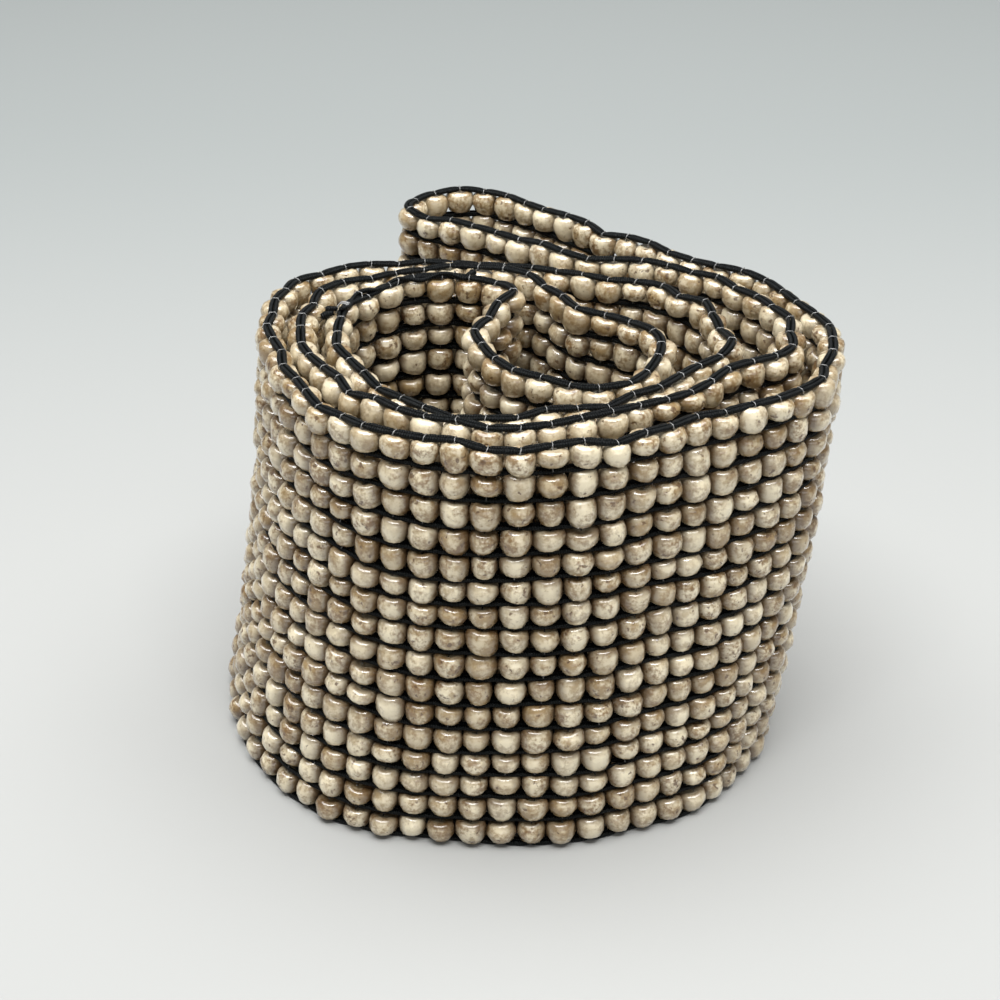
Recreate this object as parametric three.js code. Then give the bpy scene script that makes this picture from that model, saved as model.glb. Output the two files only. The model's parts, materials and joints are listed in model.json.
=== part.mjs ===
// Beaded stretch belt, rolled up and standing on its long edge.
//
// The belt is one closed ring of seed beads woven between doubled elastic cords. It is flattened into a
// double strap and the strap is rolled up, so the ring's mid-line is one closed curve that never crosses
// itself. Lengths are millimetres, +Z is up, and the roll stands on its lower edge cord at z = 0.
//
// A roll is as large as the beads make it: places across the roll are counted in layer pitches, which is
// one bead and the clearance beside it, so a larger bead opens the whole roll and no layer is squeezed.

import * as THREE from 'three';
import { mergeVertices } from 'three/addons/utils/BufferGeometryUtils.js';

// Driving dimensions
const BEAD_DIAMETER = 4.0;        // the band is one bead thick
const LAYER_CLEARANCE = 0.5;      // between two layers that lie against each other
const BELT_WIDTH = 66.62;         // over both edge cords: the height at which the roll stands
const ROW_COUNT = 16;             // rows of beads across the width of the belt
const STRAND_DIAMETER = 0.7;      // one strand of the elastic cord; every cord is two strands side by side
const CORD_SEAT = 0.3;            // between a cord and the beads that it lies on
const LENGTH_GAP = 0.3;           // between two lengths of the band
const BAND_EDGE_ROUND = 0.9;      // how far the end rows of beads round off
const CORD_FLAT_SHARE = 0.6;      // of a strand's diameter: half of the flat top of an edge cord
const JOINT_OVERLAP = 24;         // length over which the edge cord is doubled at the ring's joint
const CORD_END_LENGTH = 1.6;      // how far a cut end of the cord stands out at the joint

// How finely the faceted solids are cut
const STEPS_PER_STATION = 2;      // steps along the mid-line from one station to the next
const BAND_LEVELS = 4;            // levels from the foot of the band to its upper edge
const STRAND_SIDES = 8;
const OVERLAP_POINTS = 9;         // points that the overlapping strand is drawn through
const WALK_STEPS = 40;            // steps to a station where a length is measured along the mid-line
const CHORD_SHARE = 0.25;         // of a station: half of the chord that gives the wall its direction

// Sizes that follow
const LAYER_PITCH = BEAD_DIAMETER + LAYER_CLEARANCE;
const HALF_BEAD = BEAD_DIAMETER / 2;
const ROW_PITCH = (BELT_WIDTH - STRAND_DIAMETER) / ROW_COUNT;

// Stations of the mid-line at its upper edge, in the order in which the ring runs. across and back are
// counted in layer pitches from the left front corner of the roll, rise in row pitches above the even edge.
const MIDLINE = [
  // The far fold and the long run that swings out behind the roll
  { across: 4.7, back: 16.95, rise: 0 },
  { across: 4.3, back: 17.65, rise: 0 },
  { across: 4.6, back: 18.35, rise: 0 },
  { across: 5.35, back: 18.85, rise: 0 },
  { across: 7.0, back: 19.05, rise: 0 },
  { across: 8.95, back: 17.75, rise: 0 },
  { across: 11.35, back: 15.4, rise: -0.05 },
  { across: 14.4, back: 13.05, rise: -0.05 },
  // The outer layer: right side, front, left side, behind
  { across: 16.7, back: 11.25, rise: -0.05 },
  { across: 18.0, back: 9.15, rise: -0.05 },
  { across: 18.35, back: 6.7, rise: -0.05 },
  { across: 17.7, back: 4.35, rise: 0 },
  { across: 16.25, back: 3.05, rise: 0 },
  { across: 13.6, back: 1.7, rise: 0 },
  { across: 10.5, back: 0.25, rise: 0.05 },
  { across: 7.6, back: -0.05, rise: 0.05 },
  { across: 4.3, back: 0.9, rise: 0.05 },
  { across: 2.4, back: 2.4, rise: 0.05 },
  { across: 0.7, back: 5.4, rise: 0.05 },
  { across: 0.05, back: 8.8, rise: 0 },
  { across: 0.55, back: 11.2, rise: -0.05 },
  { across: 2.15, back: 12.45, rise: -0.1 },
  { across: 5.1, back: 13.15, rise: -0.3 },
  { across: 8.05, back: 13.0, rise: -0.3 },
  { across: 11.45, back: 11.75, rise: -0.15 },
  // The second turn, inside the first
  { across: 13.55, back: 10.45, rise: -0.05 },
  { across: 14.9, back: 8.4, rise: 0 },
  { across: 14.9, back: 6.5, rise: 0 },
  { across: 13.75, back: 5.0, rise: -0.05 },
  { across: 12.05, back: 3.35, rise: -0.15 },
  { across: 9.85, back: 2.55, rise: -0.2 },
  { across: 6.95, back: 2.2, rise: -0.25 },
  { across: 4.75, back: 3.25, rise: -0.25 },
  { across: 3.25, back: 5.0, rise: -0.15 },
  { across: 2.45, back: 6.95, rise: -0.05 },
  { across: 2.3, back: 8.65, rise: 0.05 },
  // Past the joint, along the back of the hollow
  { across: 3.45, back: 10.35, rise: 0.15 },
  { across: 5.85, back: 11.1, rise: 0.25 },
  { across: 7.6, back: 10.75, rise: 0.2 },
  // The loop that curls into the middle
  { across: 8.0, back: 10.1, rise: 0.2 },
  { across: 7.65, back: 9.35, rise: 0.15 },
  { across: 6.95, back: 7.7, rise: 0.1 },
  { across: 7.25, back: 6.0, rise: 0 },
  { across: 8.9, back: 4.4, rise: -0.05 },
  { across: 10.65, back: 3.85, rise: -0.15 },
  { across: 12.2, back: 4.8, rise: -0.15 },
  { across: 13.0, back: 6.7, rise: -0.05 },
  { across: 12.65, back: 7.6, rise: -0.05 },
  { across: 11.75, back: 8.3, rise: 0 },
  { across: 10.3, back: 9.25, rise: 0 },
  { across: 8.95, back: 11.2, rise: 0.1 },
  // The inner layer of the first turn: behind, left side, front, right side
  { across: 7.4, back: 12.05, rise: 0.1 },
  { across: 4.95, back: 12.05, rise: 0.05 },
  { across: 2.7, back: 11.2, rise: 0 },
  { across: 1.4, back: 9.75, rise: 0 },
  { across: 1.4, back: 6.85, rise: 0.05 },
  { across: 2.55, back: 4.05, rise: 0.1 },
  { across: 4.7, back: 2.05, rise: 0.2 },
  { across: 7.8, back: 0.95, rise: 0.15 },
  { across: 11.1, back: 1.7, rise: 0.2 },
  { across: 13.2, back: 3.0, rise: 0.2 },
  { across: 15.0, back: 4.75, rise: 0.15 },
  { across: 16.7, back: 5.8, rise: 0.1 },
  { across: 17.2, back: 6.95, rise: 0.1 },
  { across: 16.65, back: 9.35, rise: 0.1 },
  { across: 15.15, back: 11.2, rise: 0.1 },
  { across: 13.05, back: 12.5, rise: 0.05 },
  { across: 10.7, back: 13.25, rise: 0 },
  { across: 8.7, back: 14.45, rise: 0 },
  { across: 6.7, back: 15.8, rise: 0.05 },
];

// The band is made in lengths, so that each bends only one way or two. Each runs from its own station to
// the one at which the next begins, and the last runs on to the first.
const BAND_LENGTHS = [
  { name: 'band_outer_right', from: 6 },
  { name: 'band_outer_left', from: 15 },
  { name: 'band_second_right', from: 24 },
  { name: 'band_second_left', from: 30 },
  { name: 'band_hollow_back', from: 35 },
  { name: 'band_curled_loop', from: 41 },
  { name: 'band_inner_left', from: 50 },
  { name: 'band_inner_right', from: 58 },
  { name: 'band_far_fold', from: 66 },
];

// The ring is joined at the left of the second turn, where this length begins
const JOINT_LENGTH = 'band_hollow_back';
const JOINT_STATION = BAND_LENGTHS.find(({ name }) => name === JOINT_LENGTH).from;

// The roll leans and flares: how far its foot stands from its upper edge at a few places round it, all in
// layer pitches. Between these places the shift is blended smoothly.
const FOOT_SHIFTS = [
  { across: 1.85, back: 2.9, right: -1.15, rearward: -1.75 },
  { across: 3.75, back: 1.15, right: -0.7, rearward: -1.15 },
  { across: 7.1, back: 0, right: -0.6, rearward: -0.5 },
  { across: 11.0, back: 0.5, right: -0.5, rearward: -0.95 },
  { across: 13.8, back: 1.8, right: -0.25, rearward: -1.45 },
  { across: 17.7, back: 4.4, right: -1.3, rearward: -0.6 },
  { across: 18.35, back: 7.7, right: -1.5, rearward: 0 },
  { across: 16.2, back: 11.5, right: -1.45, rearward: 0.2 },
  { across: 11.8, back: 15.1, right: -1.2, rearward: 0.3 },
  { across: 4.3, back: 17.5, right: -1.45, rearward: 0.3 },
  { across: 2.0, back: 12.3, right: -1.8, rearward: -0.2 },
  { across: 0.05, back: 8.8, right: -2.0, rearward: -0.6 },
  { across: 0.7, back: 5.4, right: -2.0, rearward: -1.45 },
  { across: 8.6, back: 7.6, right: -1.05, rearward: -0.5 },
];
const SHIFT_REACH = 2.1;          // how far the shift at one place is felt, in layer pitches
const FLARE_CURVE = 1.5;          // above 1, the wall leaves its line slowly at the top and faster at the foot

// Finishes
const BEAD_GLAZE = { color: 0xc9bda3, roughness: 0.35, metalness: 0.0 };
const ELASTIC = { color: 0x15191b, roughness: 0.75, metalness: 0.0 };

// The foot's shift under a place on the upper edge, in millimetres
function footShift(place) {
  const sum = new THREE.Vector2();
  let weights = 0;
  for (const peg of FOOT_SHIFTS) {
    const dx = place.x / LAYER_PITCH - peg.across;
    const dy = place.y / LAYER_PITCH - peg.back;
    const weight = Math.exp(-(dx * dx + dy * dy) / (2 * SHIFT_REACH * SHIFT_REACH));
    sum.x += weight * peg.right;
    sum.y += weight * peg.rearward;
    weights += weight;
  }
  return sum.multiplyScalar(LAYER_PITCH / weights);
}

// The upper edge of the mid-line, as one closed smooth curve in space
function upperEdge() {
  const points = MIDLINE.map(({ across, back, rise }) => new THREE.Vector3(
    across * LAYER_PITCH,
    back * LAYER_PITCH,
    BELT_WIDTH + rise * ROW_PITCH,
  ));
  return new THREE.CatmullRomCurve3(points, true, 'centripetal');
}

const EDGE = upperEdge();

// A point of the upper edge. The ring is closed, so a place before its start is near its end.
function onEdge(t) {
  return EDGE.getPoint(((t % 1) + 1) % 1);
}

// A point of the mid-line at a share of its height, 0 at the foot and 1 at the upper edge
function onMidline(t, share) {
  const top = onEdge(t);
  const flare = Math.pow(Math.max(1 - share, 0), FLARE_CURVE);
  const shift = footShift(top).multiplyScalar(flare);
  return new THREE.Vector3(top.x + shift.x, top.y + shift.y, top.z * share);
}

// A point near the mid-line: side is counted out of the ring, height above the floor, ahead along the ring
function besideMidline(t, side, height, ahead = 0) {
  const share = height / onEdge(t).z;
  const reach = CHORD_SHARE / MIDLINE.length;
  const before = onMidline(t - reach, share);
  const after = onMidline(t + reach, share);
  const length = Math.hypot(after.x - before.x, after.y - before.y);
  const here = onMidline(t, share);
  const alongX = (after.x - before.x) / length;
  const alongY = (after.y - before.y) / length;
  return new THREE.Vector3(
    here.x + alongX * ahead - alongY * side,
    here.y + alongY * ahead + alongX * side,
    height,
  );
}

// The curve's own measure at a station, moved along the upper edge by a length in millimetres
function fromStation(station, length) {
  const step = Math.sign(length) / (MIDLINE.length * WALK_STEPS);
  let t = station / MIDLINE.length;
  let walked = 0;
  let last = onEdge(t);
  while (walked < Math.abs(length)) {
    t += step;
    const next = onEdge(t);
    walked += next.distanceTo(last);
    last = next;
  }
  return t;
}

// A mesh with shared corners and smooth normals
function smoothMesh(name, geometry, finish) {
  geometry.computeVertexNormals();
  const mesh = new THREE.Mesh(geometry, new THREE.MeshStandardMaterial(finish));
  mesh.name = name;
  return mesh;
}

// A solid through sections with the same number of corners. A ring closes on itself, anything else is capped
// by a strip that steps up between the two sides of its section, so a bowed section keeps its bow.
function sectionSolid(name, sections, isRing, finish) {
  const count = sections[0].length;
  const corner = (section, k) => (section % sections.length) * count + k % count;
  const faces = [];
  const spans = isRing ? sections.length : sections.length - 1;
  for (let s = 0; s < spans; s += 1) {
    for (let k = 0; k < count; k += 1) {
      faces.push(corner(s, k), corner(s, k + 1), corner(s + 1, k + 1));
      faces.push(corner(s, k), corner(s + 1, k + 1), corner(s + 1, k));
    }
  }
  if (!isRing) {
    for (let k = 0; k < count / 2 - 1; k += 1) {
      const [left, right, nextRight, nextLeft] = [count - k, k + 1, k + 2, count - k - 1];
      faces.push(corner(0, left), corner(0, nextRight), corner(0, right));
      faces.push(corner(0, left), corner(0, nextLeft), corner(0, nextRight));
      faces.push(corner(spans, left), corner(spans, right), corner(spans, nextRight));
      faces.push(corner(spans, left), corner(spans, nextRight), corner(spans, nextLeft));
    }
  }
  const geometry = new THREE.BufferGeometry();
  const places = sections.flat().flatMap((point) => point.toArray());
  geometry.setAttribute('position', new THREE.Float32BufferAttribute(places, 3));
  geometry.setIndex(faces);
  return smoothMesh(name, geometry, finish);
}

// One section of the woven band, one bead thick and 16 rows high, with its end rows rounded off
function bandSection(t, ahead) {
  const foot = STRAND_DIAMETER + CORD_SEAT;
  const head = onEdge(t).z - STRAND_DIAMETER - CORD_SEAT;
  const flat = HALF_BEAD - BAND_EDGE_ROUND;
  const levels = [];
  for (let k = 0; k <= BAND_LEVELS; k += 1) {
    const span = head - foot - 2 * BAND_EDGE_ROUND;
    levels.push(foot + BAND_EDGE_ROUND + span * k / BAND_LEVELS);
  }
  const corners = [
    { side: -flat, height: foot },
    { side: flat, height: foot },
    ...levels.map((height) => ({ side: HALF_BEAD, height })),
    { side: flat, height: head },
    { side: -flat, height: head },
    ...levels.reverse().map((height) => ({ side: -HALF_BEAD, height })),
  ];
  return corners.map(({ side, height }) => besideMidline(t, side, height, ahead));
}

// One length of the woven band, with half a gap left at either end
function bandLength({ name, from }, place) {
  const next = BAND_LENGTHS[place + 1];
  const to = next ? next.from : BAND_LENGTHS[0].from + MIDLINE.length;
  const steps = (to - from) * STEPS_PER_STATION;
  const sections = [bandSection(from / MIDLINE.length, LENGTH_GAP / 2)];
  for (let s = 1; s < steps; s += 1) {
    sections.push(bandSection((from + s / STEPS_PER_STATION) / MIDLINE.length, 0));
  }
  sections.push(bandSection(to / MIDLINE.length, -LENGTH_GAP / 2));
  return sectionSolid(name, sections, false, BEAD_GLAZE);
}

// An edge cord: two strands side by side, seen as one flat cord. underside gives the height it lies at.
function edgeCord(name, underside) {
  const flat = STRAND_DIAMETER * CORD_FLAT_SHARE;
  const corners = [
    { side: -flat, rise: 0 },
    { side: flat, rise: 0 },
    { side: STRAND_DIAMETER, rise: STRAND_DIAMETER / 2 },
    { side: flat, rise: STRAND_DIAMETER },
    { side: -flat, rise: STRAND_DIAMETER },
    { side: -STRAND_DIAMETER, rise: STRAND_DIAMETER / 2 },
  ];
  const steps = MIDLINE.length * STEPS_PER_STATION;
  const sections = [];
  for (let s = 0; s < steps; s += 1) {
    const t = s / steps;
    sections.push(corners.map(({ side, rise }) => besideMidline(t, side, underside(t) + rise)));
  }
  return sectionSolid(name, sections, true, ELASTIC);
}

// A short round strand that follows the given points
function strand(name, points) {
  const outline = new THREE.Shape();
  outline.absarc(0, 0, STRAND_DIAMETER / 2, 0, 2 * Math.PI, false);
  const path = new THREE.CatmullRomCurve3(points, false, 'centripetal');
  const geometry = new THREE.ExtrudeGeometry(outline, {
    steps: (points.length - 1) * 2,
    curveSegments: STRAND_SIDES / 2,
    extrudePath: path,
  });
  geometry.deleteAttribute('normal');
  geometry.deleteAttribute('uv');
  return smoothMesh(name, mergeVertices(geometry), ELASTIC);
}

// The joint: the edge cord runs on past its start and lies beside it, and its cut ends stand out
function jointPieces() {
  const besideCord = STRAND_DIAMETER + CORD_SEAT;
  const height = (t) => onEdge(t).z - STRAND_DIAMETER / 2;
  const overlap = [];
  for (let k = 0; k < OVERLAP_POINTS; k += 1) {
    const t = fromStation(JOINT_STATION, JOINT_OVERLAP * k / (OVERLAP_POINTS - 1));
    overlap.push(besideMidline(t, -besideCord - STRAND_DIAMETER / 2, height(t)));
  }
  const cutEnd = (name, distance) => {
    const t = fromStation(JOINT_STATION, distance);
    const sides = [besideCord, besideCord + CORD_END_LENGTH / 2, besideCord + CORD_END_LENGTH];
    return strand(name, sides.map((side) => besideMidline(t, side, height(t))));
  };
  return [
    strand('joint_overlap_strand', overlap),
    cutEnd('joint_cut_end_1', -STRAND_DIAMETER),
    cutEnd('joint_cut_end_2', STRAND_DIAMETER),
    cutEnd('joint_cut_end_3', JOINT_OVERLAP),
  ];
}

const belt = new THREE.Group();
belt.add(...BAND_LENGTHS.map(bandLength));
belt.add(edgeCord('upper_edge_cord', (t) => onEdge(t).z - STRAND_DIAMETER));
belt.add(edgeCord('lower_edge_cord', () => 0));
for (const piece of jointPieces()) {
  belt.add(piece);
}

// The origin is on the floor, under the middle of the whole roll
const box = new THREE.Box3().setFromObject(belt);
const middle = box.getCenter(new THREE.Vector3());
for (const piece of belt.children) {
  piece.position.set(-middle.x, -middle.y, -box.min.z);
}

export default belt;
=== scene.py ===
# %% [markdown]
# # A rolled beaded belt
#
# The belt is one closed ring of glazed seed beads. Doubled black elastic cords run all the way round it,
# between the rows and along both edges, and a clear thread ties every column of beads to them. The ring is
# pressed flat, rolled up and stood on its long edge.
#
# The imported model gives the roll's plain solids. This script dresses them: every bead, every strand and
# every turn of thread is put where the solids say, by measuring along the ring.

# %% Load the frame
import json
import math

import bmesh
import bpy
import numpy as np
from mathutils import Matrix, Vector

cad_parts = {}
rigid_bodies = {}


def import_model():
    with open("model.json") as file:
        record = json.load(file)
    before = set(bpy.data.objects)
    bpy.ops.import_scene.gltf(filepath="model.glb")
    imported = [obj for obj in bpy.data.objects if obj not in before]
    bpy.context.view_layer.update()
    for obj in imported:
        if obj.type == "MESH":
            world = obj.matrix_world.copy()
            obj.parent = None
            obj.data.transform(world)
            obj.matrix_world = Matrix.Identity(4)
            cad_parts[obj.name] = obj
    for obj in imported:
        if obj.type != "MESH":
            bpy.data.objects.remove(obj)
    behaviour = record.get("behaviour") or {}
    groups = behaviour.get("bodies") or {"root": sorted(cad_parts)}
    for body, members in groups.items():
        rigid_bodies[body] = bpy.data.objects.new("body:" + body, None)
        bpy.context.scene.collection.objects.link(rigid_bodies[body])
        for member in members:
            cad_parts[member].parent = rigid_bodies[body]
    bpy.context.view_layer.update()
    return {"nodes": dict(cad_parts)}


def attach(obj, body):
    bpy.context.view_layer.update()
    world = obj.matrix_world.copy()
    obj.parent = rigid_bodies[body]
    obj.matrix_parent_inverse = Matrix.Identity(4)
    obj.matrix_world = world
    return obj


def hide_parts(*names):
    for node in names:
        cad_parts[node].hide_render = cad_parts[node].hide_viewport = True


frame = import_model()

MM = 0.001
BAND = sorted(name for name in frame["nodes"] if name.startswith("band_"))
print("lengths of the band:", BAND)

# %% [markdown]
# ## Sizes
#
# These are the sizes of the real belt, the same as the solids were made from. A cell is the place of one
# bead: its row is one bead and one cord high, its column one bead and a little play wide.

# %% Sizes
BELT_WIDTH = 66.62                # over both edge cords
ROW_COUNT = 16
BEAD_DIAMETER = 4.0
STRAND_DIAMETER = 0.7
COLUMN_PITCH = 4.3
LAYER_CLEARANCE = 0.5             # between two layers of the roll
FLARE_CURVE = 1.5                 # how late, from the top down, the wall leans out
SHIFT_REACH = 2.1                 # in layer pitches: how far each lean of the foot is felt

LAYER_PITCH = BEAD_DIAMETER + LAYER_CLEARANCE
ROW_PITCH = (BELT_WIDTH - STRAND_DIAMETER) / ROW_COUNT
print("row pitch:", round(ROW_PITCH, 3), "mm, layer pitch:", LAYER_PITCH, "mm")

# %% [markdown]
# ## The route of the ring
#
# Seen from above, the ring is one closed curve that never crosses itself. It is given by stations along its
# upper edge, counted in layer pitches across and back, and in row pitches of rise. A centripetal curve
# through them has no loops and no overshoot at the tight bends.

# %% Stations: across, back, rise
FAR_RUN = [
    (4.7, 16.95, 0), (4.3, 17.65, 0), (4.6, 18.35, 0), (5.35, 18.85, 0), (7.0, 19.05, 0),
    (8.95, 17.75, 0), (11.35, 15.4, -0.05), (14.4, 13.05, -0.05),
]
OUTER_LAYER = [
    (16.7, 11.25, -0.05), (18.0, 9.15, -0.05), (18.35, 6.7, -0.05), (17.7, 4.35, 0), (16.25, 3.05, 0),
    (13.6, 1.7, 0), (10.5, 0.25, 0.05), (7.6, -0.05, 0.05), (4.3, 0.9, 0.05), (2.4, 2.4, 0.05),
    (0.7, 5.4, 0.05), (0.05, 8.8, 0), (0.55, 11.2, -0.05), (2.15, 12.45, -0.1), (5.1, 13.15, -0.3),
    (8.05, 13.0, -0.3), (11.45, 11.75, -0.15),
]
SECOND_TURN = [
    (13.55, 10.45, -0.05), (14.9, 8.4, 0), (14.9, 6.5, 0), (13.75, 5.0, -0.05), (12.05, 3.35, -0.15),
    (9.85, 2.55, -0.2), (6.95, 2.2, -0.25), (4.75, 3.25, -0.25), (3.25, 5.0, -0.15), (2.45, 6.95, -0.05),
]
HOLLOW_BACK = [(2.3, 8.65, 0.05), (3.45, 10.35, 0.15), (5.85, 11.1, 0.25), (7.6, 10.75, 0.2)]
CURLED_LOOP = [
    (8.0, 10.1, 0.2), (7.65, 9.35, 0.15), (6.95, 7.7, 0.1), (7.25, 6.0, 0), (8.9, 4.4, -0.05),
    (10.65, 3.85, -0.15), (12.2, 4.8, -0.15), (13.0, 6.7, -0.05), (12.65, 7.6, -0.05),
    (11.75, 8.3, 0), (10.3, 9.25, 0), (8.95, 11.2, 0.1),
]
INNER_LAYER = [
    (7.4, 12.05, 0.1), (4.95, 12.05, 0.05), (2.7, 11.2, 0), (1.4, 9.75, 0), (1.4, 6.85, 0.05),
    (2.55, 4.05, 0.1), (4.7, 2.05, 0.2), (7.8, 0.95, 0.15), (11.1, 1.7, 0.2), (13.2, 3.0, 0.2),
    (15.0, 4.75, 0.15), (16.7, 5.8, 0.1), (17.2, 6.95, 0.1), (16.65, 9.35, 0.1), (15.15, 11.2, 0.1),
    (13.05, 12.5, 0.05), (10.7, 13.25, 0), (8.7, 14.45, 0), (6.7, 15.8, 0.05),
]
MIDLINE = FAR_RUN + OUTER_LAYER + SECOND_TURN + HOLLOW_BACK + CURLED_LOOP + INNER_LAYER
JOINT_STATION = len(FAR_RUN + OUTER_LAYER + SECOND_TURN)
print("stations:", len(MIDLINE), "joint at", JOINT_STATION)

# %% Where the foot stands from the upper edge: across, back, right, rearward
FOOT_SHIFTS = [
    (1.85, 2.9, -1.15, -1.75), (3.75, 1.15, -0.7, -1.15), (7.1, 0, -0.6, -0.5), (11.0, 0.5, -0.5, -0.95),
    (13.8, 1.8, -0.25, -1.45), (17.7, 4.4, -1.3, -0.6), (18.35, 7.7, -1.5, 0), (16.2, 11.5, -1.45, 0.2),
    (11.8, 15.1, -1.2, 0.3), (4.3, 17.5, -1.45, 0.3), (2.0, 12.3, -1.8, -0.2), (0.05, 8.8, -2.0, -0.6),
    (0.7, 5.4, -2.0, -1.45), (8.6, 7.6, -1.05, -0.5),
]


# %% The closed curve through the stations
def closed_curve(stations, steps):
    """Points in millimetres of a centripetal curve, with so many steps from each station to the next."""
    scale = np.array([LAYER_PITCH, LAYER_PITCH, ROW_PITCH])
    corner = np.array(stations) * scale + [0, 0, BELT_WIDTH]
    before, after, beyond = (np.roll(corner, shift, 0) for shift in (1, -1, -2))
    gaps = [np.linalg.norm(b - a, axis=1)[:, None] ** 0.5
            for a, b in ((before, corner), (corner, after), (after, beyond))]
    leave = ((corner - before) / gaps[0] - (after - before) / (gaps[0] + gaps[1])
             + (after - corner) / gaps[1]) * gaps[1]
    arrive = ((after - corner) / gaps[1] - (beyond - corner) / (gaps[1] + gaps[2])
              + (beyond - after) / gaps[2]) * gaps[1]
    t = (np.arange(steps) / steps)[None, :, None]
    cubic = 2 * corner - 2 * after + leave + arrive
    square = -3 * corner + 3 * after - 2 * leave - arrive
    points = ((cubic[:, None] * t + square[:, None]) * t + leave[:, None]) * t + corner[:, None]
    return points.reshape(-1, 3)


STATION_STEPS = 40
edge = closed_curve(MIDLINE, STATION_STEPS)
edge_steps = np.linalg.norm(np.roll(edge, -1, 0)[:, :2] - edge[:, :2], axis=1)
edge_run = np.concatenate([[0], np.cumsum(edge_steps)])
RING_LENGTH = edge_run[-1]
JOINT_RUN = edge_run[JOINT_STATION * STATION_STEPS]
print("ring:", round(RING_LENGTH, 1), "mm round, joint at", round(JOINT_RUN, 1), "mm")

# %% [markdown]
# The wall of the roll doesn't stand upright: its foot lies a little to the left and in front of its upper
# edge. The lean is known at a few places. In between it is a mean of them in which near places count most.

# %% The foot's shift along the ring
pegs = np.array(FOOT_SHIFTS)
to_pegs = edge[:, None, :2] / LAYER_PITCH - pegs[None, :, :2]
peg_weights = np.exp(-(to_pegs ** 2).sum(2) / (2 * SHIFT_REACH ** 2))
foot_shift = LAYER_PITCH * (peg_weights @ pegs[:, 2:]) / peg_weights.sum(1)[:, None]
print("the foot is shifted by up to", np.abs(foot_shift).max().round(1), "mm")


# %% [markdown]
# ## Places on the wall
#
# Everything on the belt is placed by three numbers: how far along the ring, what share of the height, and
# how far out of the ring. One function turns them into points in space, and a second one gives the three
# directions there, because beads, cords and threads all follow the lean and the bends of the wall.

# %% Places on the wall
def level_line(run, share):
    """Points of the mid-line, before the roll is centred on the origin."""
    at = np.mod(run, RING_LENGTH)
    top = np.stack([np.interp(at, edge_run, np.append(edge[:, k], edge[0, k])) for k in range(3)], -1)
    shift = np.stack([np.interp(at, edge_run, np.append(foot_shift[:, k], foot_shift[0, k]))
                      for k in range(2)], -1)
    flare = np.maximum(1 - share, 0) ** FLARE_CURVE
    plan = top[..., :2] + shift * flare[..., None]
    return np.concatenate([plan, (top[..., 2] * share)[..., None]], -1)


def wall_frame(run, share):
    """Along the ring, out of it and up the wall, as three unit vectors."""
    run, share = np.broadcast_arrays(np.asarray(run, float), np.asarray(share, float))
    along = level_line(run + 1.0, share) - level_line(run - 1.0, share)
    along /= np.linalg.norm(along, axis=-1)[..., None]
    up = level_line(run, share + 0.01) - level_line(run, share - 0.01)
    out = np.cross(up, along)
    out /= np.linalg.norm(out, axis=-1)[..., None]
    return along, out, np.cross(along, out)


def on_wall(run, height, side=0.0, level=False):
    """Points at a height in millimetres of an even belt, and so far out of the ring, on the wall's own
    slope or level with the floor."""
    run, height, side = np.broadcast_arrays(
        *(np.asarray(value, float) for value in (run, height, side)))
    share = height / BELT_WIDTH
    along, out, up = wall_frame(run, share)
    if level:
        out = out * [1, 1, 0]
        out /= np.linalg.norm(out, axis=-1)[..., None]
    return level_line(run, share) + out * side[..., None] - middle


middle = np.zeros(3)
rim = np.arange(0, RING_LENGTH, 1.0)
faces = np.concatenate([on_wall(rim, height, side)
                        for height in (0.0, BELT_WIDTH / 2, BELT_WIDTH)
                        for side in (-BEAD_DIAMETER / 2, BEAD_DIAMETER / 2)])
middle = np.append((faces.max(0) + faces.min(0))[:2] / 2, 0)
print("middle of the roll:", middle.round(2), "size:", (faces.max(0) - faces.min(0)).round(1))

# %% [markdown]
# ## Camera
#
# The camera stands about 25 cm in front of the roll and looks down at it by 32 degrees. It comes first, so
# that every piece can be judged from where it is seen.

# %% Camera
CAMERA_AT = (-2.54, -254.85, 191.57)
CAMERA_DOWN = 32.12
FOCAL_PIXELS = 1881
IMAGE_PIXELS = 1000

camera_data = bpy.data.cameras.new("camera")
camera_data.sensor_width = 36
camera_data.lens = camera_data.sensor_width * FOCAL_PIXELS / IMAGE_PIXELS
camera = bpy.data.objects.new("camera", camera_data)
camera.location = Vector(CAMERA_AT) * MM
camera.rotation_euler = (math.radians(90 - CAMERA_DOWN), 0, 0)
bpy.context.scene.collection.objects.link(camera)
bpy.context.scene.camera = camera
print("lens:", round(camera_data.lens, 1), "mm")

# %% [markdown]
# ## Columns and rows
#
# Every row has the same number of beads, because each column is threaded together. Seed beads are never
# alike: each gets its own width, length, tilt and tone. Where a wide bead sits, its neighbours move aside a
# little. Where long beads meet in a few columns, they push the cords above them up, so that the rows run in
# slight waves, which is what makes them look woven by hand.

# %% The cells
rng = np.random.default_rng(11)
COLUMN_COUNT = round(RING_LENGTH / COLUMN_PITCH)
PITCH = RING_LENGTH / COLUMN_COUNT
BEAD_SPACE = ROW_PITCH - STRAND_DIAMETER
GRID = (ROW_COUNT, COLUMN_COUNT)
column_run = (np.arange(COLUMN_COUNT) + 0.5) * PITCH
print("columns:", COLUMN_COUNT, "beads:", ROW_COUNT * COLUMN_COUNT, "pitch:", round(PITCH, 3), "mm")


# %% Each bead's size
def uneven(shape, mean, spread, least, most):
    """Random sizes about a mean, none outside the limits."""
    return np.clip(rng.normal(mean, spread, shape), least, most)


bead_width = uneven(GRID, 4.42, 0.24, 3.8, 4.85)
bead_length = uneven(GRID, 3.55, 0.44, 2.4, BEAD_SPACE + 0.6)
print("mean width:", bead_width.mean().round(2), "mm, mean length:", bead_length.mean().round(2), "mm")

# %% Along the ring: wide beads push their neighbours aside
YIELD_ROUNDS = 6                  # how far along the row a wide bead is felt, in beads
YIELD = 0.85                      # how much of a push is passed on

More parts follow.
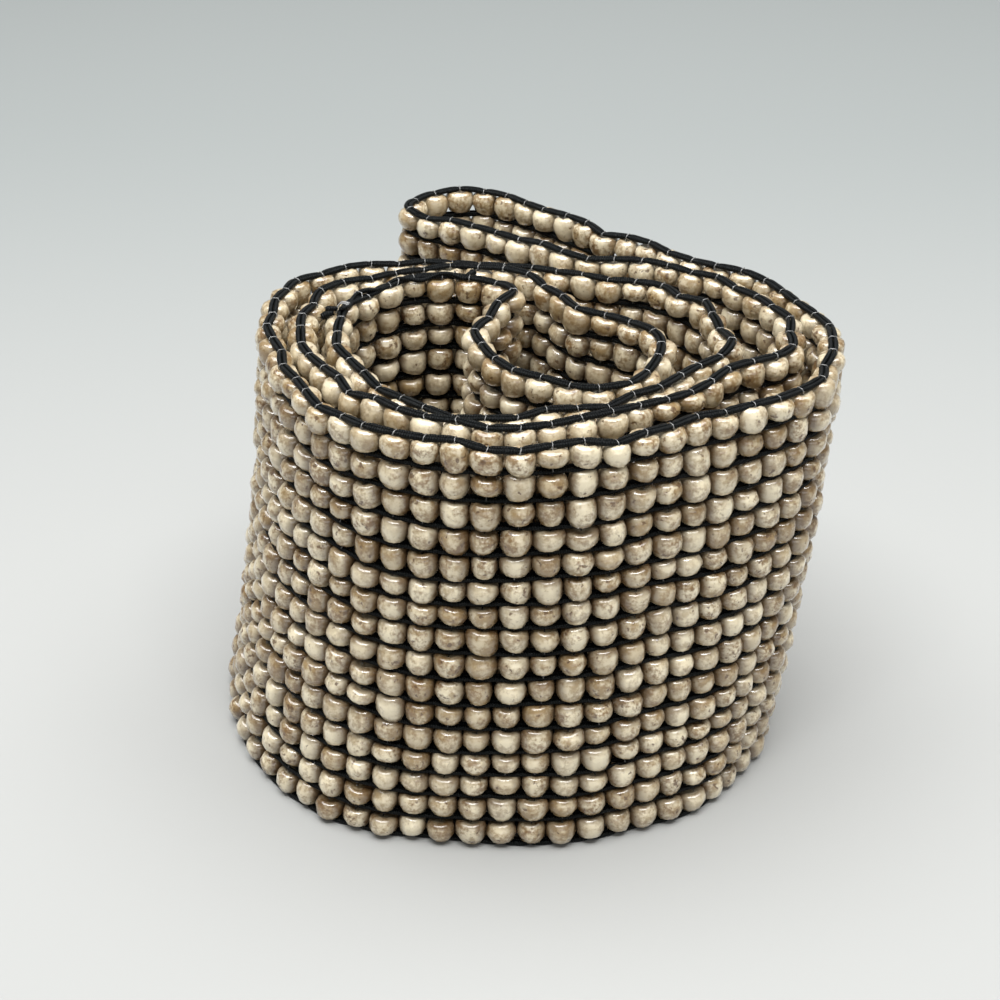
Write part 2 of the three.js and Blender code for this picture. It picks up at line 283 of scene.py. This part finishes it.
slide = rng.normal(0, 0.1, GRID)
crowding = (np.roll(bead_width, 1, 1) - np.roll(bead_width, -1, 1)) / 4
for step in range(YIELD_ROUNDS):
    slide = YIELD * ((np.roll(slide, 1, 1) + np.roll(slide, -1, 1)) / 2 + crowding)
bead_run = column_run[None, :] + slide
print("beads slide by up to", np.abs(slide).max().round(2), "mm")

# %% Up the wall: long beads push the cords above them up
surplus = bead_length - bead_length.mean(0)
for step in range(2):
    surplus = (np.roll(surplus, 1, 1) + 2 * surplus + np.roll(surplus, -1, 1)) / 4
cord_wave = np.concatenate([np.zeros((1, COLUMN_COUNT)), np.cumsum(surplus, 0)])
slack = np.maximum(BEAD_SPACE - bead_length, 0.1)
bead_height = ((np.arange(ROW_COUNT) * ROW_PITCH + STRAND_DIAMETER + BEAD_SPACE / 2)[:, None]
               + (cord_wave[:-1] + cord_wave[1:]) / 2
               + rng.uniform(-0.45, 0.45, GRID) * slack)
bead_side = rng.normal(0, 0.13, GRID)
print("the cords wave by up to", np.abs(cord_wave).max().round(2), "mm")

# %% The edge rows: the lowest beads hang over their cord, and the threads pull the edge cords about
LOWEST_DROP = 0.3
LOWEST_REST = 0.45                # what stays under a bead of the lowest row
TUCK = 0.15                       # how far the ends of the top beads reach up between the strands

bead_height[0] = np.maximum(bead_height[0] - LOWEST_DROP, bead_length[0] / 2 + LOWEST_REST)
upper_sway = uneven(COLUMN_COUNT, 0, 0.5, -0.8, 0.8)
lower_sway = uneven(COLUMN_COUNT, 0, 0.2, -0.4, 0.4)
upper_lift = uneven(COLUMN_COUNT, -0.15, 0.18, -0.5, 0.12)
bead_side[-1] = 0.55 * upper_sway
room = BELT_WIDTH - STRAND_DIAMETER + upper_lift + TUCK - bead_length[-1] / 2
bead_height[-1] = np.minimum(bead_height[-1], room)
print("edge cords sway by up to", np.abs(upper_sway).max().round(2), "mm")

# %% [markdown]
# ## Bead shapes
#
# A seed bead is cut from a glass tube and melted round: a short barrel with a dimple at each end where the
# hole is. One could model it with hundreds of faces, but there are thousands of beads, so each shape has a
# few dozen: an outline of eight points, spun round the hole. The two ends of a bead melt unevenly, so each
# half has its own squareness, and the cuts are not quite square. Fourteen shapes are enough, because every
# copy is turned and sized by itself.

# %% Bead shapes
BEAD_TURNS = 12
SHAPE_COUNT = 14


def half_outline(squareness, dimple):
    """Radius and height of the upper half of a bead, from the hole to the belly."""
    return [(0, 0.5 - dimple),
            (0.24 + 0.05 * squareness, 0.5),
            (0.395 + 0.05 * squareness, 0.39 + 0.05 * squareness),
            (0.5, 0.12 + 0.16 * squareness)]


def bead_shape(name, squareness, dimple, slants, oval):
    """A bead of width 1 and length 1 about the vertical hole."""
    outline = half_outline(squareness[0], dimple)
    outline += [(radius, -height) for radius, height in reversed(half_outline(squareness[1], dimple))]
    bm = bmesh.new()
    points = [bm.verts.new((radius, 0, height)) for radius, height in outline]
    lines = [bm.edges.new(pair) for pair in zip(points, points[1:])]
    bmesh.ops.spin(bm, geom=points + lines, cent=(0, 0, 0), axis=(0, 0, 1), angle=math.tau,
                   steps=BEAD_TURNS, use_merge=True)
    bmesh.ops.remove_doubles(bm, verts=bm.verts[:], dist=1e-5)
    for vert in bm.verts:
        turn = math.atan2(vert.co.y, vert.co.x)
        swell = 1 + oval * math.cos(2 * turn) + 0.4 * oval * math.sin(3 * turn + 1)
        vert.co.x *= swell
        vert.co.y *= swell
        vert.co.z += slants[0 if vert.co.z > 0 else 1] * vert.co.x
    bmesh.ops.recalc_face_normals(bm, faces=bm.faces[:])
    mesh = bpy.data.meshes.new(name)
    bm.to_mesh(mesh)
    bm.free()
    return mesh


bead_shapes = []
for number in range(SHAPE_COUNT):
    bead_shapes.append(bead_shape(
        f"shape_{number}",
        squareness=(rng.uniform(0, 1), rng.uniform(-0.6, 0.85)),
        dimple=rng.uniform(0.12, 0.2),
        slants=rng.normal(0, 0.11, 2),
        oval=rng.uniform(0.0, 0.045),
    ))
print("faces of one bead:", len(bead_shapes[0].polygons), "corners:", len(bead_shapes[0].vertices))


# %% [markdown]
# ## Rows of beads
#
# A row is one joined mesh. Each bead is stamped into it, sized, turned about its hole by any angle, tilted a
# little, and set into its cell. Each corner keeps three numbers for the glaze: the bead's tone, how mottled
# it is, and how deep the corner lies in a crevice, at an end of the bead or against the next one, where it
# is darkened by pooled glaze and painted shade.

# %% A helper that puts a mesh into the scene
def add_piece(name, mesh, replaced=()):
    """An object at the origin that goes with the belt."""
    mesh.name = name
    mesh.shade_smooth()
    piece = bpy.data.objects.new(name, mesh)
    bpy.context.scene.collection.objects.link(piece)
    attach(piece, "root")
    if replaced:
        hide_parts(*replaced)
    return piece


# %% Each bead's own look and posture
TILT = math.radians(3.5)

along, out, up = wall_frame(bead_run, bead_height / BELT_WIDTH)
bead_at = on_wall(bead_run, bead_height, bead_side)
tone = rng.beta(1.6, 1.7, GRID)
mottle = rng.uniform(0, 1, GRID)
spin_turn = rng.uniform(0, math.tau, GRID)
tilt = rng.normal(0, TILT, (2,) + GRID)
choice = rng.integers(0, SHAPE_COUNT, GRID)
shape_points = [np.array([v.co for v in mesh.vertices]) for mesh in bead_shapes]
print("mean tone:", tone.mean().round(2))

# %% How deep a corner lies in a crevice, for its pooled glaze and painted shade
END_SHADE = (0.76, 0.98)          # shares of half the length, where the shade of an end begins and is full
FLANK_SHADE = (0.45, 1.0)         # the same towards the next bead, in shares of half the width
END_DEPTH = 0.75
TOP_ROW_DEPTH = 0.5               # the painted shade and pooled glaze are weaker in the top row's crevices, where more light falls


def eased_step(value, low, high):
    """0 below low, 1 above high, smooth between them."""
    share = np.clip((value - low) / (high - low), 0, 1)
    return share * share * (3 - 2 * share)


# Pooled glaze and painted shade: the ends and flanks of a bead are darkened where it meets its neighbours.
def crevice_pool_and_shade(points, turned, row):
    """How much pooled glaze and painted shade the corners of a bead turned about its hole get: 0 in the
    open, 1 in the deepest crevice.
    """
    sideways = points[:, :2] @ np.array(turned)[0, :2]
    ends = END_DEPTH * eased_step(np.abs(points[:, 2]) * 2, *END_SHADE)
    flanks = eased_step(np.abs(sideways) * 2, *FLANK_SHADE)
    depth = 1 - (1 - ends) * (1 - flanks)
    return depth * TOP_ROW_DEPTH if row == ROW_COUNT - 1 else depth


# %% Stamp the rows
THICKNESS_SHARE = 0.95            # a bead is a little thinner through the wall than along it

bead_rows = []
for row in range(ROW_COUNT):
    bm = bmesh.new()
    glaze = []
    for column in range(COLUMN_COUNT):
        cell = (row, column)
        width = bead_width[cell]
        axes = Matrix(np.stack([along[cell], out[cell], up[cell]], 1).tolist()).to_4x4()
        size = Matrix.Diagonal((width, width * THICKNESS_SHARE, bead_length[cell], 1))
        tilted = Matrix.Rotation(tilt[0][cell], 4, "X") @ Matrix.Rotation(tilt[1][cell], 4, "Y")
        turned = Matrix.Rotation(spin_turn[cell], 4, "Z")
        place = Matrix.Translation(Vector(bead_at[cell]) * MM) @ Matrix.Scale(MM, 4)
        start = len(bm.verts)
        bm.from_mesh(bead_shapes[choice[cell]])
        bm.verts.ensure_lookup_table()
        bmesh.ops.transform(bm, matrix=place @ axes @ tilted @ size @ turned, verts=bm.verts[start:])
        points = shape_points[choice[cell]]
        own = np.tile([tone[cell], mottle[cell]], (len(points), 1))
        glaze.append(np.column_stack([own, crevice_pool_and_shade(points, turned, row)]))
    mesh = bpy.data.meshes.new("row")
    bm.to_mesh(mesh)
    bm.free()
    mesh.attributes.new("glaze", "FLOAT_VECTOR", "POINT").data.foreach_set(
        "vector", np.concatenate(glaze).ravel())
    bead_rows.append(add_piece(f"bead_row_{row + 1:02d}", mesh, BAND))
print("triangles in a row:", sum(len(p.vertices) - 2 for p in bead_rows[0].data.polygons))


# %% [markdown]
# ## Cords
#
# Every cord is two round strands of covered elastic side by side. A curve with a round bevel is the natural
# tool: it follows any route, and its thickness can change from point to point. The curves are turned into
# meshes, and every corner keeps how far along its strand it lies, so that the yarn's ribs can follow it.

# %% A helper that turns routes into one mesh
def rounded_off(route, swell):
    """An open route with one more point at either end, where the strand shrinks to nothing."""
    first = route[:1] + 0.1 * (route[:1] - route[1:2])
    last = route[-1:] + 0.1 * (route[-1:] - route[-2:-1])
    return np.concatenate([first, route, last]), np.concatenate([[0], swell, [0]])


def tube_mesh(name, routes, radius, sides, closed, swells=None):
    """Round strands along routes in millimetres, with how far along its strand each corner lies."""
    if swells is None:
        swells = [np.ones(len(route)) for route in routes]
    if not closed:
        routes, swells = zip(*(rounded_off(*pair) for pair in zip(routes, swells)))
    data = bpy.data.curves.new(name, "CURVE")
    data.dimensions = "3D"
    data.twist_mode = "Z_UP"
    data.bevel_depth = radius * MM
    data.bevel_resolution = (sides - 4) // 2
    for route, swell in zip(routes, swells):
        line = data.splines.new("POLY")
        line.points.add(len(route) - 1)
        line.points.foreach_set("co", np.column_stack([route * MM, np.ones(len(route))]).ravel())
        line.points.foreach_set("radius", swell)
        line.use_cyclic_u = closed
    helper = bpy.data.objects.new(name, data)
    bpy.context.scene.collection.objects.link(helper)
    mesh = bpy.data.meshes.new_from_object(helper.evaluated_get(bpy.context.evaluated_depsgraph_get()))
    bpy.data.objects.remove(helper)
    bpy.data.curves.remove(data)
    lengths = [np.append(0, np.cumsum(np.linalg.norm(np.diff(route, axis=0), axis=1)))
               for route in routes]
    mesh.attributes.new("length_along", "FLOAT", "POINT").data.foreach_set(
        "value", np.repeat(np.concatenate(lengths), sides))
    return mesh


# %% [markdown]
# The cords along the two edges are seen best, from above, so their strands are finer cut. At every column
# the thread nips both strands and pulls them to the bead's hole, a little down and to one side. Between two
# threads the cord is plump and runs straight, which gives it the zigzag of the real one.

# %% Edge cords
EDGE_STEPS = 8
EDGE_SIDES = 8
NIP_REACH = 0.1                   # of a column: how far a thread is felt along the cord
NIP_THICKNESS = 0.7               # of a strand's own thickness, under the thread
PLUMP = 1.1                       # the same between two threads
PLUMPNESS = 0.12                  # how uneven that is
APART, PULLED = 0.53, 0.17        # of a strand: from the middle of the pair, and less under the thread


def eased(values, steps):
    """Values at the middle of the columns, carried on to the steps between them."""
    at = np.arange(COLUMN_COUNT * steps) / steps - 0.5
    return np.interp(np.mod(at, COLUMN_COUNT), np.arange(COLUMN_COUNT + 1), np.append(values, values[0]))


edge_cord_run = np.arange(COLUMN_COUNT * EDGE_STEPS) / EDGE_STEPS * PITCH
from_thread = np.mod(edge_cord_run / PITCH, 1.0) - 0.5
nipped = np.exp(-(from_thread / NIP_REACH) ** 2)
for name, height, sways, lifts, node in (
    ("upper_cord_strands", BELT_WIDTH - STRAND_DIAMETER / 2, upper_sway, upper_lift, "upper_edge_cord"),
    ("lower_cord_strands", STRAND_DIAMETER / 2 * PLUMP + 0.02, lower_sway, np.zeros(COLUMN_COUNT),
     "lower_edge_cord"),
):
    sway, rise = eased(sways, EDGE_STEPS), eased(lifts, EDGE_STEPS)
    routes, swells = [], []
    for strand in (-1, 1):
        apart = STRAND_DIAMETER * (APART - PULLED * nipped)
        routes.append(on_wall(edge_cord_run, height + rise, sway + strand * apart, level=True))
        swells.append(PLUMP - PLUMPNESS * (1 + np.sin(edge_cord_run * 1.7 + strand)) / 2
                      - (PLUMP - NIP_THICKNESS) * nipped)
    cord = tube_mesh(name, routes, STRAND_DIAMETER / 2, EDGE_SIDES, True, swells)
    add_piece(name, cord, [node])
    print(name, "triangles:", sum(len(p.vertices) - 2 for p in cord.polygons))

# %% [markdown]
# The cords between the rows lie half hidden in the valleys. Their two strands part at every column to let
# the threads through, and close again between the columns.

# %% Cords between the rows
ROW_CORD_STEPS = 3
ROW_CORD_SIDES = 6
PARTED, CLOSED = 0.56, 0.44       # of a strand: from the middle of the pair, at a thread and between two

row_cord_run = np.arange(COLUMN_COUNT * ROW_CORD_STEPS) / ROW_CORD_STEPS * PITCH
row_cord_phase = np.mod(row_cord_run / PITCH, 1.0)
parted = np.where(np.abs(row_cord_phase - 0.5) < 0.2, PARTED, CLOSED)
for gap in range(1, ROW_COUNT):
    sag = eased(rng.normal(0, 0.08, COLUMN_COUNT), ROW_CORD_STEPS)
    level = gap * ROW_PITCH + STRAND_DIAMETER / 2 + sag + eased(cord_wave[gap], ROW_CORD_STEPS)
    routes = [on_wall(row_cord_run, level, strand * parted) for strand in (-1, 1)]
    cord = tube_mesh("row_cord", routes, STRAND_DIAMETER / 2, ROW_CORD_SIDES, True)
    add_piece(f"row_cord_{gap:02d}", cord, BAND)
print("row cords:", ROW_COUNT - 1)

# %% [markdown]
# ## Thread
#
# A clear thread runs through every column and turns over the cord at both edges, and it crosses every cord
# between two beads. From outside one sees only the crossings: small bright loops over the edge cords, and
# short upright lines between the rows. Each crossing is a closed loop round the pair of strands.

# %% Thread loops
THREAD_DIAMETER = 0.15
EDGE_THREAD_DIAMETER = 0.18
THREAD_SIDES = 4
LOOP_OUTLINE = [(1, -1), (1.06, 0.1), (0.62, 1), (-0.62, 1), (-1.06, 0.1), (-1, -1)]


def thread_loops(runs, height, half_width, half_height, sideways=0.0, lean=0.0,
                 diameter=THREAD_DIAMETER, level=False):
    """Closed loops round a cord, one at each place along the ring."""
    corners = np.stack([
        on_wall(runs + lean * b, height + half_height * b, sideways + half_width * a, level)
        for a, b in LOOP_OUTLINE], 1)
    return tube_mesh("loops", list(corners), diameter / 2, THREAD_SIDES, True)


NIPPED_RADIUS = STRAND_DIAMETER / 2 * NIP_THICKNESS
EDGE_LOOP_WIDTH = NIPPED_RADIUS * 2 + 0.14
upper_loops = thread_loops(
    column_run, BELT_WIDTH - STRAND_DIAMETER / 2 + upper_lift - 0.1, EDGE_LOOP_WIDTH,
    NIPPED_RADIUS + 0.18, upper_sway, rng.normal(0, 0.1, COLUMN_COUNT), EDGE_THREAD_DIAMETER, level=True)
lower_loops = thread_loops(
    column_run, STRAND_DIAMETER / 2 + 0.16, EDGE_LOOP_WIDTH, -NIPPED_RADIUS - 0.02, lower_sway, level=True)
thread_pieces = [add_piece("upper_thread_loops", upper_loops, BAND),
                 add_piece("lower_thread_loops", lower_loops, BAND)]
for gap in range(1, ROW_COUNT):
    crossings = thread_loops(bead_run[gap], gap * ROW_PITCH + STRAND_DIAMETER / 2 + cord_wave[gap],
                             STRAND_DIAMETER + 0.05, STRAND_DIAMETER / 2 + 0.3)
    thread_pieces.append(add_piece(f"row_thread_{gap:02d}", crossings, BAND))
print("thread pieces:", len(thread_pieces))

# %% [markdown]
# ## The joint
#
# The ring is closed at the left of the hollow. There the upper cord runs on past its start for about two
# centimetres, wound loosely over it and tied down by more turns of thread. The cut ends stand out as thick
# stubs whose yarn has frayed. The stubs are strands that swell towards a blunt end, and the fray is a tuft
# of fine hairs.

# %% The overlap
JOINT_OVERLAP = 24
OVERLAP_STEPS = 60
OVERLAP_TURNS = 3.4
UPPER_LEVEL = BELT_WIDTH - STRAND_DIAMETER / 2

overlap_share = np.linspace(0, 1, OVERLAP_STEPS)
winding = overlap_share * math.tau * OVERLAP_TURNS
overlap = on_wall(JOINT_RUN + overlap_share * JOINT_OVERLAP,
                  UPPER_LEVEL + 0.08 + 0.32 * np.cos(winding),
                  -STRAND_DIAMETER * (0.62 + 0.75 * np.sin(winding)), level=True)
overlap_swell = 1.04 + 0.12 * np.sin(winding * 2.3)
overlap_strand = tube_mesh("overlap", [overlap], STRAND_DIAMETER / 2, EDGE_SIDES, False, [overlap_swell])
add_piece("joint_overlap", overlap_strand, ["joint_overlap_strand"])
print("the overlap is", JOINT_OVERLAP, "mm long and winds", OVERLAP_TURNS, "times")

# %% The cut ends
CUT_END_RUNS = (-STRAND_DIAMETER, STRAND_DIAMETER, JOINT_OVERLAP)
CUT_END_LENGTH = 1.6
CUT_END_SWELL = np.array([1.0, 1.12, 1.3, 1.5, 1.68, 1.72, 1.4])
HAIR_COUNT = 9
HAIR_SWELL = np.linspace(0.22, 0.06, len(CUT_END_SWELL))

reach = np.linspace(0, 1, len(CUT_END_SWELL))
for number, run in enumerate(CUT_END_RUNS, 1):
    ahead = JOINT_RUN + run + 0.7 * reach * (number - 2)
    height = UPPER_LEVEL - 0.1 + 0.22 * np.sin(reach * 2.5 + number)
    side = STRAND_DIAMETER * 0.7 + reach * CUT_END_LENGTH
    routes, swells = [on_wall(ahead, height, side, level=True)], [CUT_END_SWELL]
    for hair in range(HAIR_COUNT):
        spread = rng.normal(0, 0.16, 2)
        hair_ahead = ahead[-1] + spread[0] * (1 + 1.6 * reach)
        hair_height = height[-1] + spread[1] * (1 + 1.4 * reach)
        hair_side = side[-1] - 0.2 + rng.uniform(0.35, 0.75) * reach
        routes.append(on_wall(hair_ahead, hair_height, hair_side, level=True))
        swells.append(HAIR_SWELL)
    cut_end = tube_mesh("cut_end", routes, STRAND_DIAMETER / 2, EDGE_SIDES, False, swells)
    add_piece(f"joint_end_{number}", cut_end, [f"joint_cut_end_{number}"])
print("cut ends:", len(CUT_END_RUNS), "with", HAIR_COUNT, "hairs each")

# %% Extra turns of thread over the joint: run past the joint, lean
TIES = np.array([
    (1.1, 0.5), (1.35, 0.4), (1.6, 0.45), (2.0, 0.2), (5.6, 0.35), (12.8, 0.3), (22.2, -0.2),
])
ties = thread_loops(JOINT_RUN + TIES[:, 0], UPPER_LEVEL, STRAND_DIAMETER * 1.15,
                    STRAND_DIAMETER / 2 + 0.2, -0.2, TIES[:, 1], EDGE_THREAD_DIAMETER, level=True)
thread_pieces.append(add_piece("joint_ties", ties, ["joint_overlap_strand"]))
print("ties:", len(TIES))


# %% [markdown]
# ## Writing shaders as sums
#
# Node graphs are easier to read as arithmetic. One small class wraps a socket, so that an expression such as
# 1 - mask adds the Math nodes that it needs, and one method makes any other node.

# %% Shader arithmetic
class Field:
    """A value that varies over a surface."""

    def __init__(self, paint, socket):
        self.paint = paint
        self.socket = socket

    def math(self, operation, *others):
        values = {0: self, **dict(enumerate(others, 1))}
        return self.paint.node("ShaderNodeMath", {"operation": operation}, values)

    def __add__(self, other):
        return self.math("ADD", other)

    def __sub__(self, other):
        return self.math("SUBTRACT", other)

    def __mul__(self, other):
        return self.math("MULTIPLY", other)

    def __rsub__(self, other):
        return self.paint.node("ShaderNodeMath", {"operation": "SUBTRACT"}, {0: other, 1: self})

    __radd__ = __add__
    __rmul__ = __mul__

    def part(self, name):
        """Another output of the same node."""
        return Field(self.paint, self.socket.node.outputs[name])


class Paint:
    """A material whose nodes are written as expressions."""

    def __init__(self, name, **constants):
        self.material = bpy.data.materials.new(name)
        self.material.use_nodes = True
        self.tree = self.material.node_tree
        self.shader = self.tree.nodes["Principled BSDF"]
        for socket, value in constants.items():
            self.shader.inputs[socket.replace("_", " ")].default_value = value

    def node(self, kind, settings, inputs):
        """Any node: its type, its settings and what goes into its sockets. Gives its first output."""
        made = self.tree.nodes.new(kind)
        for key, value in settings.items():
            setattr(made, key, value)
        for key, value in inputs.items():
            self.feed(made.inputs[key], value)
        return Field(self, next(socket for socket in made.outputs if socket.enabled))

    def feed(self, socket, value):
        if isinstance(value, Field):
            self.tree.links.new(value.socket, socket)
        else:
            socket.default_value = value

    def place(self):
        return self.node("ShaderNodeTexCoord", {}, {}).part("Object")

    def noise(self, vector, scale, detail, roughness):
        return self.node("ShaderNodeTexNoise", {}, {
            "Vector": vector, "Scale": scale, "Detail": detail, "Roughness": roughness})

    def between(self, value, low, high):
        """0 below low, 1 above high, smooth between them."""
        return self.node("ShaderNodeMapRange", {"interpolation_type": "SMOOTHSTEP"}, {
            "Value": value, "From Min": low, "From Max": high})

    def mix(self, factor, first, second):
        """A colour between two colours."""
        made = self.node("ShaderNodeMix", {"data_type": "RGBA"}, {0: factor})
        self.feed(made.socket.node.inputs[6], first)
        self.feed(made.socket.node.inputs[7], second)
        return Field(self, made.socket.node.outputs[2])

    def bump(self, height, distance, strength):
        return self.node("ShaderNodeBump", {}, {
            "Height": height, "Distance": distance * MM, "Strength": strength})

    def finish(self, **varying):
        for socket, value in varying.items():
            self.feed(self.shader.inputs[socket.replace("_", " ")], value)
        return self.material


# %% [markdown]
# ## Glaze
#
# The beads are cream glass under a mottled, stone-like glaze: cloudy patches from cream to tan, brown stains
# and specks, and small pits. Each bead has its own tone, and its pattern is moved by that tone, so the
# pattern does not run on from one bead to the next. Where a bead meets its neighbours and in its dimples,
# the colour is mixed towards umber: partly glaze that has pooled there, partly painted shade. The wet look
# is
# a clear coat over all of it: the pits roughen what lies under the coat, but not the coat itself.

# %% Glaze
CREAM = (0.84, 0.745, 0.535, 1)
TAN = (0.34, 0.235, 0.108, 1)
STAIN = (0.21, 0.118, 0.042, 1)
# The umber of the crevices: pooled glaze and painted shade.
POOLED_UMBER_AND_SHADE = (0.10, 0.053, 0.02, 1)
SPECK = (0.10, 0.046, 0.015, 1)

glaze = Paint("mottled_glaze", Coat_Weight=1.0, Coat_Roughness=0.02, Coat_IOR=1.75, IOR=1.42)
numbers = glaze.node("ShaderNodeAttribute", {"attribute_name": "glaze"}, {}).part("Vector")
split = glaze.node("ShaderNodeSeparateXYZ", {}, {"Vector": numbers})
bead_tone, bead_mottle, bead_pool_and_shade = split, split.part("Y"), split.part("Z")
offset = glaze.node("ShaderNodeCombineXYZ", {}, {
    "X": bead_tone * 0.7, "Y": bead_mottle * 0.9, "Z": bead_tone * bead_mottle})
spot = glaze.node("ShaderNodeVectorMath", {"operation": "ADD"}, {0: glaze.place(), 1: offset})
clouds = glaze.noise(spot, 520, 4, 0.6)
drifts = glaze.noise(spot, 380, 3, 0.55)
fine = glaze.noise(spot, 1900, 3, 0.6)
specks = glaze.noise(spot, 1000, 2, 0.5)
patches = glaze.between(clouds + (fine - 0.5) * 0.3, 0.36, 0.68)
depth = glaze.between(bead_tone * 0.6 + patches * (0.3 + 0.5 * bead_mottle), 0.08, 1.04)
ground = glaze.mix(depth, CREAM, TAN)
stains = glaze.between(drifts + 0.65 * (fine - 0.5), 0.46, 0.72)
stained = glaze.mix(stains * (0.42 + 0.58 * bead_mottle), ground, STAIN)
brown = glaze.between(specks + 0.3 * (clouds - 0.5) + 0.08 * bead_mottle, 0.68, 0.76)
specked = glaze.mix(brown * 0.8, stained, SPECK)
# Pooled glaze and painted shade: the crevices are mixed towards umber.
coloured = glaze.mix(bead_pool_and_shade * 0.95, specked, POOLED_UMBER_AND_SHADE)
pits = glaze.bump(fine * 0.4 + clouds * 0.8 + drifts * 0.9 - brown * 0.5, 0.2, 0.6)
glaze_finish = glaze.finish(Base_Color=coloured, Roughness=0.25 + 0.16 * patches + 0.2 * brown, Normal=pits)
print("nodes in the glaze:", len(glaze.tree.nodes))

# %% [markdown]
# ## Elastic and thread
#
# The elastic is covered with black yarn, wound round it in fine ribs. The ribs follow the length along each
# strand, so they stay across it round every bend. A noise makes them uneven, as wound yarn is. The yarn is
# nearly matte, with a low sheen on the crown of the strand. The thread is clear and thin, so it shows as a
# pale line with a bright glint where it turns.

# %% Elastic
RIB_PITCH = 0.36

elastic = Paint("black_elastic", Specular_IOR_Level=0.14)
fuzz = elastic.noise(elastic.place(), 5200, 2, 0.6)
wear = elastic.noise(elastic.place(), 700, 3, 0.5)
length_along = elastic.node("ShaderNodeAttribute", {"attribute_name": "length_along"}, {}).part("Fac")
ribs = (length_along * (math.tau / RIB_PITCH) + 5 * wear).math("SINE") * 0.5 + 0.5
yarn = elastic.mix(elastic.between(fuzz * 0.4 + ribs * 0.3 + wear * 0.3, 0.35, 0.75),
                   (0.0012, 0.0016, 0.0018, 1), (0.0065, 0.0085, 0.0088, 1))
elastic_finish = elastic.finish(Base_Color=yarn, Roughness=0.22 + 0.3 * fuzz,
                                Normal=elastic.bump(ribs * 0.7 + fuzz * 0.6, 0.15, 0.9))
print("ribs on a column of cord:", round(PITCH / RIB_PITCH))

# %% Thread
thread = Paint("clear_thread", Coat_Weight=1.0, Coat_Roughness=0.05, Coat_IOR=1.6)
streak = thread.noise(thread.place(), 1500, 2, 0.5)
thread_finish = thread.finish(
    Base_Color=thread.mix(streak, (0.03, 0.03, 0.03, 1), (0.26, 0.26, 0.25, 1)),
    Roughness=0.15 + 0.2 * streak)
print("nodes in the thread:", len(thread.tree.nodes))

# %% Give every piece its finish
for piece in bead_rows:
    piece.data.materials.append(glaze_finish)
for piece in thread_pieces:
    piece.data.materials.append(thread_finish)
dressed = set(bead_rows + thread_pieces)
for piece in bpy.context.scene.objects:
    if piece.type == "MESH" and piece not in dressed and not piece.data.materials:
        piece.data.materials.append(elastic_finish)
print("glazed:", len(bead_rows), "thread:", len(thread_pieces))

# %% [markdown]
# ## Floor and light
#
# The belt stands on a pale, matte floor under soft studio light. A broad light overhead and a little behind
# lights the rim and the hollows. A narrow one high in front gives every bead the thin bright bar on its
# shoulder, a weak one low in front opens the shadows, and the pale surroundings fill the rest. The floor's
# colour is a little darker towards the back: painted shade that stands for the studio's backdrop, which gets
# less light.

# %% Floor
FLOOR_RADIUS = 3.0

bm = bmesh.new()
bmesh.ops.create_circle(bm, cap_ends=True, radius=FLOOR_RADIUS, segments=64)
floor_mesh = bpy.data.meshes.new("floor")
bm.to_mesh(floor_mesh)
bm.free()
floor = bpy.data.objects.new("floor", floor_mesh)
bpy.context.scene.collection.objects.link(floor)

pale_floor = Paint("pale_floor", Roughness=0.7, Specular_IOR_Level=0.2)
floor_place = pale_floor.node("ShaderNodeSeparateXYZ", {}, {"Vector": pale_floor.place()})
# Painted shade: the floor's colour darkens towards the back, in place of the shaded backdrop.
behind = pale_floor.between(floor_place.part("Y"), -0.02, 0.26)
floor_tone = pale_floor.mix(behind, (0.405, 0.41, 0.40, 1), (0.315, 0.335, 0.33, 1))
floor_mesh.materials.append(pale_floor.finish(Base_Color=floor_tone))
print("floor:", len(floor_mesh.vertices), "corners")


# %% Lights
def area_light(name, at, aim, size, watts):
    """A rectangular light that stands at a place and looks at another, in metres."""
    data = bpy.data.lights.new(name, "AREA")
    data.shape = "RECTANGLE"
    data.size, data.size_y = size
    data.energy = watts
    lamp = bpy.data.objects.new(name, data)
    lamp.location = at
    lamp.rotation_euler = (Vector(aim) - Vector(at)).to_track_quat("-Z", "Y").to_euler()
    bpy.context.scene.collection.objects.link(lamp)


# name, where it stands, where it looks, its two sides in metres, its watts
area_light("overhead", (0.0, 0.08, 0.75), (0, 0.08, 0.03), (1.1, 0.6), 10.8)
area_light("high_front", (0.0, -0.27, 0.70), (0, 0, 0.03), (0.55, 0.09), 2.9)
area_light("low_front", (0.15, -0.85, 0.28), (0, 0, 0.03), (0.9, 0.35), 1.2)

world = bpy.data.worlds.new("surroundings")
world.use_nodes = True
background = world.node_tree.nodes["Background"]
background.inputs["Color"].default_value = (0.97, 0.98, 1.0, 1)
background.inputs["Strength"].default_value = 0.22
bpy.context.scene.world = world
bpy.context.scene.view_settings.view_transform = "Standard"
print("lights placed")

# %% Count the triangles
counts = {o.name: sum(len(face.vertices) - 2 for face in o.data.polygons)
          for o in bpy.context.scene.objects if o.type == "MESH" and o.name not in frame["nodes"]}
print("triangles in all:", sum(counts.values()), "most in one piece:", max(counts.values()))
